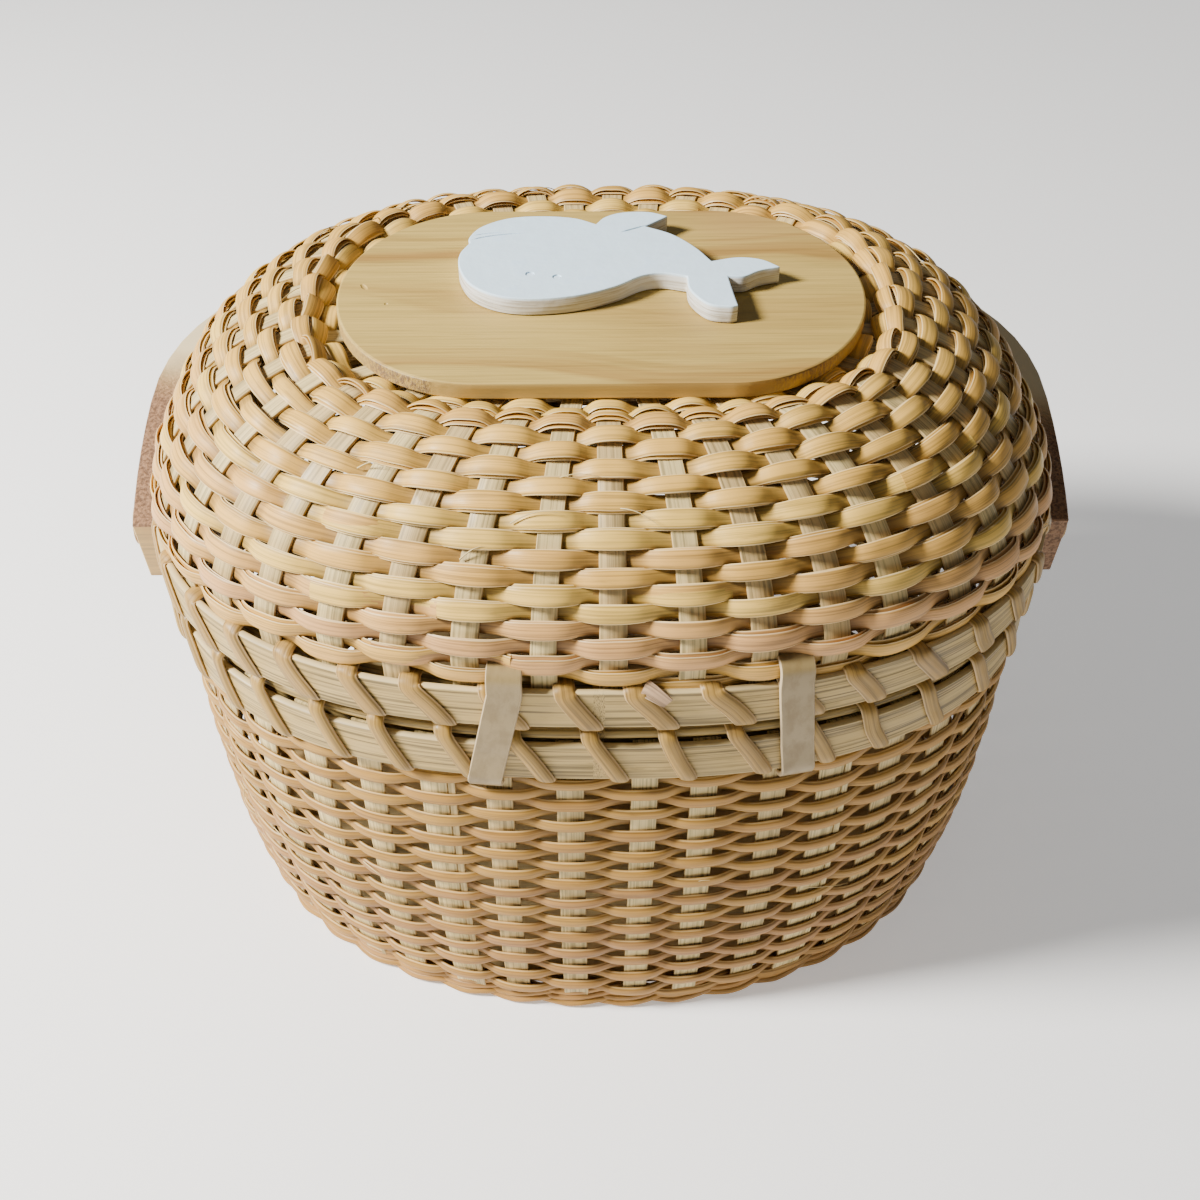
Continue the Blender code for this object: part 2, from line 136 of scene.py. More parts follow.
class Shell:
    """A surface through ovals (z, a, b, power, inset), addressed by share round and height up."""

    def __init__(self, rows, levels=120, columns=820, smooth=3):
        rows = np.array(rows, float)
        climb = np.hypot(np.diff(rows[:, 0]), np.diff(rows[:, 2]))
        height = np.concatenate([[0], np.cumsum(climb)])
        self.length = height[-1]
        self.levels, self.columns = levels, columns
        even = np.linspace(0, self.length, levels)
        table = np.stack([np.interp(even, height, rows[:, k]) for k in range(5)], axis=1)
        for _ in range(smooth):
            table[1:-1] = (table[:-2] + 2 * table[1:-1] + table[2:]) / 4
        self.table = table
        grid = np.zeros((levels, columns + 1, 3))
        for i, (z, a, b, power, _) in enumerate(table):
            grid[i, :, :2] = oval_ring(a, b, power, columns)
            grid[i, :, 2] = z
        around = np.empty_like(grid)
        around[:, 1:-1] = grid[:, 2:] - grid[:, :-2]
        around[:, 0] = around[:, -1] = grid[:, 1] - grid[:, -2]
        normal = np.cross(around, np.gradient(grid, axis=0))
        normal /= np.linalg.norm(normal, axis=2, keepdims=True)
        self.grid = grid - normal * table[:, 4][:, None, None] + np.array(CENTRE)
        self.normal = normal

    def at(self, share, height):
        """Points and outward normals at shares of the way round and heights up the surface."""
        column = (np.asarray(share, float) % 1.0) * self.columns
        level = np.clip(np.asarray(height, float) / self.length, 0, 1) * (self.levels - 1.001)
        c, r = column.astype(int), level.astype(int)
        fc, fr = (column - c)[..., None], (level - r)[..., None]

        def sample(field):
            low = field[r, c] * (1 - fc) + field[r, c + 1] * fc
            high = field[r + 1, c] * (1 - fc) + field[r + 1, c + 1] * fc
            return low * (1 - fr) + high * fr

        normal = sample(self.normal)
        return sample(self.grid), normal / np.linalg.norm(normal, axis=-1, keepdims=True)

    def height_where(self, reached):
        """How far up the surface a condition on its table is first met."""
        return np.linspace(0, self.length, self.levels)[np.argmax(reached(self.table))]


def wall_shell():
    """The middle of the basket's wall, from inside the foot border to the top of the rim."""
    foot_a, foot_b = 0.1195, 0.0968
    flare = 2.4
    top_a, top_b = BODY_A - HOOP_T - HOOP_GAP, BODY_B - HOOP_T - HOOP_GAP
    low, high = FOOT_HIGH, BODY_HIGH - 0.001
    rows = [(0.0012, foot_a - 0.0012, foot_b - 0.0012, FOOT_POWER, 0.0008)]
    for t in np.linspace(0, 1, 40):
        spread = 1 - (1 - t) ** flare
        rows.append((low + (high - low) * t, foot_a + (top_a - foot_a) * spread,
                     foot_b + (top_b - foot_b) * spread,
                     FOOT_POWER + (RIM_POWER - FOOT_POWER) * spread, 0.0008))
    return Shell(rows)


def dome_shell():
    """The middle of the lid's weave, from inside its hoops over the shoulder to under the plate."""
    dome_a, dome_b, dome_base, dome_top = 0.1290, 0.1030, 0.1470, 0.2030
    plan, rise_power, shoulder = 3.8, 1.7, 0.62
    seat = (0.1934, 0.0755, 0.0530, 2.8, 0.0019)
    rim_a, rim_b = LID_A - HOOP_T - HOOP_GAP, LID_B - HOOP_T - HOOP_GAP
    rows = [(LID_LOW + 0.0010, rim_a, rim_b, RIM_POWER, 0.0008),
            (LID_HIGH, rim_a, rim_b, RIM_POWER, 0.0008)]
    highest = (1 - shoulder ** plan) ** (1 / rise_power)
    for rise in np.linspace(0.09, highest, 40):
        scale = (1 - rise ** rise_power) ** (1 / plan)
        rows.append((dome_base + (dome_top - dome_base) * rise, dome_a * scale, dome_b * scale,
                     RIM_POWER + (seat[3] - RIM_POWER) * (1 - scale),
                     0.0008 + 0.0011 * min(1.0, rise / 0.25)))
    return Shell(rows + [seat, (seat[0], 0.0400, 0.0200, 2.8, seat[4])])


WALL = wall_shell()
DOME = dome_shell()


def stake_places(first_x, half_sizes_of_rim):
    """Share of the way round of each stake, with a stake first_x along the back, made by hand."""
    steps = np.diff(oval_ring(*half_sizes_of_rim, RIM_POWER, 800), axis=0)
    perimeter = np.sum(np.hypot(*steps.T))
    even = np.arange(STAKES) / STAKES + first_x / perimeter
    return even + RNG.normal(0, 0.0007, STAKES) / perimeter * 1.2


LID_STAKES = stake_places(0.0031, (LID_A, LID_B))
BODY_STAKES = stake_places(0.0088, (BODY_A, BODY_B))


def share_at(places, index):
    """Share of the way round at a stake number, which may be between stakes or past a full turn."""
    index = np.asarray(index, float)
    turn = np.floor(index / STAKES)
    knots = np.append(places, places[0] + 1)
    return np.interp(index - turn * STAKES, np.arange(STAKES + 1), knots) + turn


# ---- strands

RIBBON = np.array([(-0.50, -0.15), (-0.43, -0.50), (0.43, -0.50), (0.50, -0.15),
                   (0.43, 0.22), (0.24, 0.43), (0.0, 0.50), (-0.24, 0.43), (-0.43, 0.22)])
SPLINT = np.array([(-0.50, -0.25), (-0.47, -0.50), (0.0, -0.50), (0.47, -0.50), (0.50, -0.25),
                   (0.50, 0.25), (0.47, 0.50), (0.0, 0.50), (-0.47, 0.50), (-0.50, 0.25)])
ROUND = np.array([(0.5 * math.cos(2 * math.pi * k / 12), 0.5 * math.sin(2 * math.pi * k / 12))
                  for k in range(12)])


def unit(vectors):
    return vectors / np.maximum(np.linalg.norm(vectors, axis=-1, keepdims=True), 1e-12)


class Strands:
    """Collects strands swept along paths, and makes one mesh of them."""

    def __init__(self):
        self.verts, self.faces, self.grain, self.edge, self.deep = [], [], [], [], []
        self.count = 0

    def add(self, path, out, width, thickness, profile=RIBBON, tint=0.5, closed=False, lean=0.0,
            deep=0.0):
        """A strand along path whose flat side faces out. lean turns it about its own line, and the
        last argument is how far it is tucked away, from 0 to 1, which the reed materials darken as
        painted shade."""
        path = np.asarray(path, float)
        n, m = len(path), len(profile)
        if closed:
            tangent = unit(np.roll(path, -1, axis=0) - np.roll(path, 1, axis=0))
        else:
            tangent = unit(np.gradient(path, axis=0))
        out = np.broadcast_to(out, path.shape)
        out = unit(out - np.sum(out * tangent, axis=1, keepdims=True) * tangent)
        side = np.cross(tangent, out)
        lean = np.broadcast_to(lean, (n,))[:, None]
        out, side = (out * np.cos(lean) + side * np.sin(lean),
                     side * np.cos(lean) - out * np.sin(lean))
        width = np.broadcast_to(width, (n,))[:, None, None]
        thickness = np.broadcast_to(thickness, (n,))[:, None, None]
        verts = (path[:, None] + side[:, None] * profile[None, :, :1] * width
                 + out[:, None] * profile[None, :, 1:] * thickness)
        steps = np.linalg.norm(np.diff(path, axis=0), axis=1)
        along = np.concatenate([[0], np.cumsum(steps)])
        grain = np.empty((n, m, 3))
        grain[..., 0] = along[:, None]
        grain[..., 1] = profile[None, :, 0] * width[..., 0]
        grain[..., 2] = tint
        self.grain.append(grain.reshape(-1, 3))
        self.edge.append(np.tile(np.abs(profile[:, 0]) * 2, n))
        self.deep.append(np.repeat(np.broadcast_to(deep, (n,)), m))
        self.verts.append(verts.reshape(-1, 3))
        ring, spot = np.meshgrid(np.arange(n if closed else n - 1), np.arange(m), indexing="ij")
        next_ring, next_spot = (ring + 1) % n, (spot + 1) % m
        quads = np.stack([ring * m + spot, ring * m + next_spot,
                          next_ring * m + next_spot, next_ring * m + spot], axis=-1)
        self.faces += (quads.reshape(-1, 4) + self.count).tolist()
        if not closed:
            self.faces.append([self.count + k for k in reversed(range(m))])
            self.faces.append([self.count + (n - 1) * m + k for k in range(m)])
        self.count += n * m

    def build(self, name, material, sharp=50.0):
        mesh = bpy.data.meshes.new(name)
        mesh.from_pydata(np.concatenate(self.verts).tolist(), [], self.faces)
        grain = mesh.attributes.new("grain", "FLOAT_VECTOR", "POINT")
        grain.data.foreach_set("vector", np.concatenate(self.grain).ravel().astype(np.float32))
        for title, values in (("edge", self.edge), ("deep", self.deep)):
            layer = mesh.attributes.new(title, "FLOAT", "POINT")
            layer.data.foreach_set("value", np.concatenate(values).astype(np.float32))
        mesh.validate()
        return finished(name, mesh, material, sharp)


def finished(name, mesh, material, sharp=50.0):
    """Makes an object of a mesh, with its faces out and its shading set."""
    bm = bmesh.new()
    bm.from_mesh(mesh)
    bmesh.ops.recalc_face_normals(bm, faces=bm.faces)
    bm.to_mesh(mesh)
    bm.free()
    mesh.shade_smooth()
    mesh.set_sharp_from_angle(angle=math.radians(sharp))
    mesh.materials.append(material)
    return add_object(name, mesh)


# ---- materials


class Shader:
    """A Principled material with a short way to write its nodes."""

    def __init__(self, name, roughness=0.5, **constants):
        self.material = bpy.data.materials.new(name)
        self.material.use_nodes = True
        self.nodes = self.material.node_tree.nodes
        self.links = self.material.node_tree.links
        self.shader = self.nodes["Principled BSDF"]
        for socket, value in {"Roughness": roughness, **constants}.items():
            self.shader.inputs[socket.replace("_", " ")].default_value = value

    def put(self, socket, value):
        """Links a node's output to a socket, or sets the socket's own value."""
        if isinstance(value, bpy.types.NodeSocket):
            self.links.new(value, socket)
        elif isinstance(value, tuple) and len(value) == 3 and socket.type == "RGBA":
            socket.default_value = (*value, 1.0)
        else:
            socket.default_value = value

    def math(self, operation, first, second=0.0, clamp=False):
        node = self.nodes.new("ShaderNodeMath")
        node.operation, node.use_clamp = operation, clamp
        self.put(node.inputs[0], first)
        self.put(node.inputs[1], second)
        return node.outputs[0]

    def times(self, first, second):
        return self.math("MULTIPLY", first, second)

    def plus(self, first, second):
        return self.math("ADD", first, second)

    def minus(self, first, second):
        return self.math("SUBTRACT", first, second)

    def combine(self, x, y, z):
        node = self.nodes.new("ShaderNodeCombineXYZ")
        for socket, value in zip(node.inputs, (x, y, z)):
            self.put(socket, value)
        return node.outputs[0]

    def scaled(self, *parts):
        """A vector of parts, each a value, or a value and the factor that it is multiplied by."""
        return self.combine(*(self.times(*part) if isinstance(part, tuple) else part
                              for part in parts))

    def noise(self, vector, scale=1.0, detail=2.0, roughness=0.5, distortion=0.0):
        node = self.nodes.new("ShaderNodeTexNoise")
        for socket, value in (("Vector", vector), ("Scale", scale), ("Detail", detail),
                              ("Roughness", roughness), ("Distortion", distortion)):
            self.put(node.inputs[socket], value)
        return node.outputs["Fac"]

    def spread(self, value, low, high, to_low=0.0, to_high=1.0):
        """Maps low..high to to_low..to_high, clamped and smooth."""
        node = self.nodes.new("ShaderNodeMapRange")
        node.interpolation_type = "SMOOTHSTEP"
        for socket, number in zip(node.inputs, (value, low, high, to_low, to_high)):
            self.put(socket, number)
        return node.outputs[0]

    def ramp(self, value, stops):
        node = self.nodes.new("ShaderNodeValToRGB")
        elements = node.color_ramp.elements
        stops = list(stops)
        while len(elements) < len(stops):
            elements.new(0.5)
        for element, (place, colour) in zip(elements, stops):
            element.position = place
            element.color = (*colour, 1.0)
        self.put(node.inputs["Fac"], value)
        return node.outputs["Color"]

    def mix(self, share, first, second, blend="MIX"):
        node = self.nodes.new("ShaderNodeMix")
        node.data_type, node.blend_type = "RGBA", blend
        self.put(node.inputs["Factor"], share)
        self.put(node.inputs[6], first)
        self.put(node.inputs[7], second)
        return node.outputs[2]

    def shade(self, colour, tone):
        """The colour, darker where tone is less than 1."""
        return self.mix(1.0, colour, self.combine(tone, tone, tone), "MULTIPLY")

    def attribute(self, name):
        node = self.nodes.new("ShaderNodeAttribute")
        node.attribute_name = name
        return node

    def grain(self):
        """Metres along a strand, metres across it, and its own tint from 0 to 1."""
        node = self.nodes.new("ShaderNodeSeparateXYZ")
        self.put(node.inputs[0], self.attribute("grain").outputs["Vector"])
        return node.outputs

    def place(self):
        """Object coordinates, in metres."""
        node = self.nodes.new("ShaderNodeSeparateXYZ")
        self.put(node.inputs[0], self.nodes.new("ShaderNodeTexCoord").outputs["Object"])
        return node.outputs

    def finish(self, colour, roughness=None, height=None, depth=0.0002, strength=0.6):
        self.put(self.shader.inputs["Base Color"], colour)
        if roughness is not None:
            self.put(self.shader.inputs["Roughness"], roughness)
        if height is not None:
            bump = self.nodes.new("ShaderNodeBump")
            for socket, value in (("Strength", strength), ("Distance", depth), ("Height", height)):
                self.put(bump.inputs[socket], value)
            self.put(self.shader.inputs["Normal"], bump.outputs[0])
        return self.material


def fibre_material(name, tints, edge, roughness=0.5, streak=0.30, lines=1500.0, depth=0.00012,
                   waist=0.5):
    """Reed or bamboo: long fibres, slow changes between three tints along a strand, and along each
    edge the edge colour with a dark line beside it: the dark line is painted shade, and the edge
    colour is a painted highlight where it is paler than the tints and painted shade where it is
    darker. Strands tucked behind the stakes are darkened as painted shade. waist is where the
    middle tint lies."""
    s = Shader(name, roughness, Specular_IOR_Level=0.35)
    along, across, tint = s.grain()
    seed = s.times(tint, 61.0)
    fine = s.noise(s.scaled((along, 18.0), (across, lines), seed), detail=3.0, roughness=0.65)
    blotch = s.noise(s.scaled((along, 70.0), (across, 330.0), seed), detail=4.0, roughness=0.6)
    slow = s.noise(s.scaled((along, 9.0), 0.0, seed), detail=1.0)
    shift = s.times(s.minus(slow, 0.5), 0.55)
    colour = s.ramp(s.math("ADD", tint, shift, clamp=True), zip((0.0, waist, 1.0), tints))
    colour = s.shade(colour, s.spread(fine, 0.34, 0.56, 1.0 - streak, 1.06))
    spots = s.spread(blotch, 0.58, 0.75, 0.0, 0.55)
    colour = s.mix(spots, colour, tuple(0.55 * c for c in tints[1]))
    rim = s.attribute("edge").outputs["Fac"]
    # a dark line just inside each edge: painted shade
    line = s.times(s.spread(rim, 0.72, 0.80), s.spread(rim, 0.84, 0.92, 0.45, 0.0))
    colour = s.mix(line, colour, tuple(0.35 * c for c in tints[1]))
    # the edge colour along each edge: a painted highlight on the paler edges of reed and hoop,
    # painted shade on the darker edges of the stakes
    colour = s.mix(s.spread(rim, 0.88, 0.98, 0.0, 0.70), colour, edge)
    # reed tucked away behind the stakes is darkened: painted shade
    tucked = s.times(s.attribute("deep").outputs["Fac"], 0.55)
    colour = s.shade(colour, s.minus(1.0, tucked))
    rough = s.spread(blotch, 0.3, 0.7, roughness - 0.08, roughness + 0.14)
    return s.finish(colour, rough, fine, depth, 0.7)


def pine_material(name, pale, ring, stain=None, grain_scale=1.0, ends=None):
    """Sawn softwood with its grain along X. stain is a place (x, y), its reach and its tint, and
    ends is how far along X the sides start to show torn end grain. When ends is given, the sides
    below the top are also darkened as painted shade."""
    s = Shader(name, 0.62)
    x, y, z = s.place()
    drift = s.noise(s.scaled((x, 7.0), (y, 16.0), z), detail=2.0)
    bent = s.plus(s.times(y, 42.0 * grain_scale), s.times(drift, 2.6))
    rings = s.noise(s.scaled((x, 0.9), bent, (z, 30.0)), scale=1.7, detail=3.0, roughness=0.55)
    fine = s.noise(s.scaled((x, 26.0), (y, 1500.0), (z, 1500.0)), detail=3.0, roughness=0.7)
    broad = s.noise(s.scaled((x, 11.0), (y, 22.0), z), detail=2.0)
    colour = s.mix(s.spread(rings, 0.44, 0.66), pale, ring)
    colour = s.mix(s.spread(broad, 0.5, 0.75, 0.0, 0.35), colour, tuple(0.86 * c for c in ring))
    colour = s.shade(colour, s.spread(fine, 0.30, 0.62, 0.80, 1.04))
    if stain is not None:
        (spot_x, spot_y), reach, tint = stain
        dx = s.math("DIVIDE", s.minus(x, spot_x), reach * 1.5)
        dy = s.math("DIVIDE", s.minus(y, spot_y), reach)
        squares = s.plus(s.times(dx, dx), s.times(dy, dy))
        far = s.math("SQRT", squares)
        far = s.plus(far, s.times(s.minus(broad, 0.5), 1.6))
        colour = s.mix(s.spread(far, 0.25, 1.15, 0.55, 0.0), colour, tint)
    height = fine
    if ends is not None:
        side = s.spread(z, PLATE_HIGH - 0.0006, PLATE_HIGH - 0.0002, 1.0, 0.0)
        reach = s.math("ABSOLUTE", x)
        curved = s.times(s.spread(reach, ends, ends + 0.004),
                        s.spread(reach, ends + 0.014, ends + 0.022, 1.0, 0.4))
        torn = s.noise(s.scaled(x, y, (z, 0.5)), 1300.0, 4.0, 0.7)
        patches = s.spread(s.noise(s.combine(x, y, z), 60.0), 0.36, 0.50, 0.35, 1.0)
        pulled = s.times(s.times(side, curved), patches)
        # the sides below the top, darker: painted shade
        colour = s.mix(s.times(side, 0.6), colour, (0.42, 0.27, 0.075))
        colour = s.mix(s.times(pulled, s.spread(torn, 0.40, 0.60)), colour,
                       (0.20, 0.13, 0.07))
        height = s.plus(fine, s.times(s.times(torn, pulled), 9.0))
    rough = s.spread(fine, 0.3, 0.7, 0.52, 0.72)
    return s.finish(colour, rough, height, 0.00012, 0.5)


LID_REED = fibre_material(
    "lid_reed", ((0.76, 0.49, 0.105), (0.68, 0.39, 0.078), (0.62, 0.33, 0.115)),
    edge=(0.82, 0.66, 0.36), roughness=0.48, streak=0.38, waist=0.45)
BODY_REED = fibre_material(
    "body_reed", ((0.48, 0.275, 0.050), (0.39, 0.200, 0.036), (0.37, 0.185, 0.054)),
    edge=(0.66, 0.47, 0.20))
LASH_REED = fibre_material(
    "lash_reed", ((0.42, 0.260, 0.055), (0.36, 0.215, 0.048), (0.33, 0.190, 0.070)),
    edge=(0.56, 0.39, 0.20), roughness=0.44, streak=0.40, lines=1100.0, depth=0.00025)
STAKE_WOOD = fibre_material(
    "stake_bamboo", ((0.64, 0.50, 0.225), (0.58, 0.44, 0.190), (0.50, 0.36, 0.155)),
    edge=(0.50, 0.35, 0.15), roughness=0.48, streak=0.42)
HOOP_WOOD = fibre_material(
    "hoop_bamboo", ((0.50, 0.350, 0.125), (0.45, 0.310, 0.105), (0.38, 0.260, 0.085)),
    edge=(0.66, 0.52, 0.27), roughness=0.46, streak=0.66, lines=1300.0)
CUT_REED = fibre_material(
    "cut_reed", ((0.50, 0.34, 0.18), (0.45, 0.29, 0.16), (0.48, 0.31, 0.18)),
    edge=(0.66, 0.52, 0.36), roughness=0.6, streak=0.6)
PLATE_PINE = pine_material("plate_pine", (0.50, 0.350, 0.092), (0.33, 0.188, 0.042),
                           stain=((0.044, 0.034), 0.020, (0.40, 0.22, 0.07)), ends=0.042)
BOARD_PINE = pine_material("board_pine", (0.62, 0.46, 0.22), (0.50, 0.32, 0.13), grain_scale=0.8)

# ---- weave


def weave(shell, places, heights, pitch, reed, tints, name, material, double=False):
    """One spiral of reed, in lengths as it came, over and under every stake in turn. heights are
    its first row, its last row, and the height from which it has to lie close to the stakes.
    tints gives a row's tint from its share of the way up."""
    width, thickness = reed
    layers = [Strands(), Strands()] if double else [Strands()]
    first, last, snug_end = heights
    total = int((last - first) / pitch * STAKES)
    start = -STAKES
    while start < total:
        run = 2 * int(RNG.uniform(0.55, 1.15) * STAKES)
        stop = min(start + run, total)
        index = np.arange(start - 0.3, stop + 0.7, 1 / WEAVE_STEPS)
        wobble = 0.00022 * np.sin(index * 0.61 + start) + 0.00016 * np.sin(index * 1.37 + 2 * start)
        height = first + index / STAKES * pitch + wobble
        snug = np.clip(np.minimum(height - first, snug_end - height) / 0.002 + 1.0, 0.0, 1.0)
        swing = np.cos(math.pi * index)
        wave = np.tanh(1.6 * swing) / math.tanh(1.6)
        arch = np.clip(swing, 0, 1)
        knots = np.arange(start - 2, stop + 3)
        loose = np.interp(index, knots, RNG.uniform(0.00010, 0.00065, len(knots)))
        spring = np.interp(index, knots, RNG.uniform(0.00005, 0.00055, len(knots)))
        breadth = width * (0.87 + 0.13 * arch + 0.06 * np.sin(index * 0.23 + start))
        share = np.clip((height.mean() - first) / (last - first), 0, 1)
        shade = np.clip(tints(share) + RNG.normal(0, 0.26), 0, 1)
        lean = 0.12 * np.sin(index * 0.9 + start) * arch
        whole = thickness * len(layers)
        for layer, strands in enumerate(layers):
            lift = wave * (STAKE_T + whole) / 2 * (0.7 + 0.3 * snug) + arch * loose * snug
            slide = 0.0
            if double:
                lift = lift + (layer - 0.5) * (thickness + 0.00005) + layer * arch * spring * snug
                slide = (layer - 0.5) * 0.0005 * np.sin(index * 0.41 + 3 * start)
            point, normal = shell.at(share_at(places, index), height + slide)
            # the last argument, how far the strand dives behind a stake, sets the painted shade
            # there
            strands.add(point + normal * lift[:, None], normal, breadth * (1 - 0.04 * layer),
                        thickness, RIBBON, shade, lean=lean,
                        deep=np.clip(-wave, 0, 1) * 0.8 + 0.2 * (1 - arch))
        start = stop - 1 if stop < total else total
    names = [name + "_under", name] if double else [name]
    return [strands.build(title, material) for strands, title in zip(layers, names)][::-1]


def stakes(shell, places, heights, taper, name, material, extra=()):
    """Flat bamboo splints standing in the weave. The extra ones have a thin one beside them."""
    strands = Strands()
    height = np.linspace(*heights, 60)
    for number, place in enumerate(places):
        drift = RNG.normal(0, 0.0006)
        share = place + drift * np.linspace(0, 1, len(height)) / RIM_ROUND
        point, normal = shell.at(share, height)
        width = np.linspace(1.0, taper, len(height)) * STAKE_W * RNG.uniform(0.94, 1.04)
        strands.add(point, normal, width, STAKE_T, SPLINT, RNG.uniform(0, 1))
        if number in extra:
            point, normal = shell.at(share + EXTRA_AWAY / RIM_ROUND, height)
            strands.add(point, normal, EXTRA_W, STAKE_T, SPLINT, RNG.uniform(0, 1))
    return strands.build(name, material)


SEAT_A = 0.0756                      # half the length of the weave's last oval, under the plate
BODY_WEAVE_TOP = BODY_LOW - BODY_REED_W / 2 - 0.0006
lid_first = DOME.height_where(lambda row: row[:, 0] >= LID_HIGH) + 0.0008 + LID_REED_W / 2
lid_last = DOME.height_where(lambda row: row[:, 1] <= SEAT_A) + LID_PITCH
lid_weave, lid_weave_under = weave(
    DOME, LID_STAKES, (lid_first, lid_last, lid_last + 1.0), LID_PITCH, (LID_REED_W, LID_REED_T),
    lambda share: 0.62 - 0.45 * share, "lid_weave", LID_REED, double=True)
body_first = WALL.height_where(lambda row: row[:, 0] >= FOOT_HIGH + 0.0022)
body_last = WALL.height_where(lambda row: row[:, 0] >= BODY_WEAVE_TOP)
body_weave, = weave(
    WALL, BODY_STAKES, (body_first, body_last + BODY_PITCH, body_last), BODY_PITCH,
    (BODY_REED_W, BODY_REED_T), lambda share: 0.70 - 0.40 * share, "body_weave", BODY_REED)
lid_stakes = stakes(DOME, LID_STAKES, (0.0, DOME.length - 0.004), 0.74, "lid_stakes", STAKE_WOOD)
body_stakes = stakes(WALL, BODY_STAKES, (0.0, WALL.length), 1.0, "body_stakes", STAKE_WOOD,
                     extra=(3, 11, 17, 24, 33, 38))

# ---- rims


def rim_point(a, b, share, z, out=0.0):
    """Points on a rim's oval, moved out from it, and the outward directions there."""
    ring = oval_ring(a, b, RIM_POWER, RIM_COLUMNS)
    share = np.asarray(share, float) % 1.0
    column = share * RIM_COLUMNS
    c = np.minimum(column.astype(int), RIM_COLUMNS - 1)
    part = (column - c)[:, None]
    point = ring[c] * (1 - part) + ring[c + 1] * part
    along = unit(ring[(c + 2) % RIM_COLUMNS] - ring[c - 1])
    normal = np.stack([along[:, 1], -along[:, 0]], axis=1)
    point = point + normal * np.broadcast_to(out, share.shape)[:, None]
    point = np.column_stack([point, np.broadcast_to(z, share.shape)]) + np.array(CENTRE)
    return point, np.column_stack([normal, np.zeros(len(share))])


HOOP_SHARES = np.linspace(0, 1, 241)[:-1]
CORE_R = 0.0016                      # radius of the round reed on top of the body's wall
LASH_TOP = BODY_HIGH + HOOP_GAP + 2 * CORE_R + 0.0003


def hoop(name, a, b, low, high, tint):
    """A flat bamboo hoop, a little wavy. Its outside is the oval a, b."""
    strands = Strands()
    wave = 0.00025 * np.sin(HOOP_SHARES * 2 * math.pi * 7 + tint * 9)
    point, normal = rim_point(a, b, HOOP_SHARES, (low + high) / 2 + wave, -HOOP_T / 2)
    strands.add(point, normal, high - low, HOOP_T, SPLINT, tint, closed=True)
    return strands.build(name, HOOP_WOOD)


def filler(name):
    """The round reed that lies on the body's wall between the tops of its hoops."""
    strands = Strands()
    point, normal = rim_point(BODY_A, BODY_B, HOOP_SHARES, BODY_HIGH + HOOP_GAP + CORE_R,
                              -(HOOP_T + HOOP_GAP + WALL_T / 2))
    strands.add(point, normal, 2 * CORE_R, 2 * CORE_R, ROUND, 0.9, closed=True)
    return strands.build(name, HOOP_WOOD)


INSET = HOOP_T + HOOP_GAP + WALL_T + HOOP_GAP
lid_outer = hoop("lid_hoop_outer", LID_A, LID_B, LID_LOW, LID_HIGH, 0.25)
lid_inner = hoop("lid_hoop_inner", LID_A - INSET, LID_B - INSET, LID_LOW, LID_HIGH, 0.7)
body_outer = hoop("body_hoop_outer", BODY_A, BODY_B, BODY_LOW, BODY_HIGH, 0.35)
body_inner = hoop("body_hoop_inner", BODY_A - INSET, BODY_B - INSET, BODY_LOW, BODY_HIGH, 0.8)
rim_core = filler("body_rim_filler")


def lashing(name, places, a, b, low, high, reed, tints):
    """A spiral of reed that binds a rim, one turn a stake, slanting down across the outside. A
    turn's points are its share of the way to the next stake, how far out it is and its height."""
    strands = Strands()
    width, thickness = reed
    skin = thickness / 2 + 0.00010
    depth = 2 * HOOP_T + 2 * HOOP_GAP + WALL_T
    turn = np.array([
        (0.27, -depth / 2, high + skin), (0.29, -0.0008, high + skin * 0.9),
        (0.31, skin, high - 0.0010), (0.50, skin, (low + high) / 2),
        (0.69, skin, low + 0.0010), (0.71, -0.0008, low - skin * 0.9),
        (0.73, -depth / 2, low - skin), (0.75, -depth + 0.0008, low - skin * 0.9),
        (0.77, -depth - skin, low + 0.0010), (1.00, -depth - skin, (low + high) / 2),
        (1.23, -depth - skin, high - 0.0010), (1.25, -depth + 0.0008, high + skin * 0.9)])
    centre_out, centre_z = -depth / 2, (low + high) / 2
    guide = []
    for k in range(STAKES):
        shake = RNG.normal(0, 0.045, 2)
        for s, out, z in turn:
            lean = shake[0] if z > centre_z else shake[1]
            guide.append((k + s + lean, out, z))
    guide = np.array(guide)
    steps = 4
    knots = np.arange(len(guide))
    fine = np.arange(0, len(guide) - 1 + 1e-9, 1 / steps)
    smooth = np.stack([np.interp(fine, knots, guide[:, c]) for c in range(3)], axis=1)
    for _ in range(2):
        smooth[1:-1] = (smooth[:-2] + 2 * smooth[1:-1] + smooth[2:]) / 4
    point, normal = rim_point(a, b, share_at(places, smooth[:, 0]), smooth[:, 2], smooth[:, 1])
    height = (high - low) / 2 + skin
    flat = depth / 2 + skin
    side_out = (smooth[:, 1] - centre_out) / flat
    side_up = (smooth[:, 2] - centre_z) / height
    face = unit(np.stack([np.sign(side_out) * np.abs(side_out) ** 9,
                          np.sign(side_up) * np.abs(side_up) ** 9], axis=1))
    out = normal * face[:, :1] + np.array([0.0, 0.0, 1.0]) * face[:, 1:]
    per_turn = len(turn) * steps
    start = 0
    while start < len(point) - 2:
        run = int(RNG.integers(5, 11)) * per_turn
        stop = min(start + run, len(point))
        shade = np.clip(RNG.normal(tints, 0.18), 0, 1)
        strands.add(point[start:stop], out[start:stop], width, thickness, RIBBON, shade)
        start = stop - 4 if stop < len(point) else len(point)
    return strands.build(name, LASH_REED)


lid_lashing = lashing("lid_lashing", LID_STAKES, LID_A, LID_B, LID_LOW, LID_HIGH, LID_LASH, 0.65)
body_lashing = lashing("body_lashing", BODY_STAKES, BODY_A, BODY_B, BODY_LOW, LASH_TOP, BODY_LASH,
                       0.25)

# ---- foot border


LOWEST_REED = 0.00125                # the border's lowest reeds are pressed flat on the ground


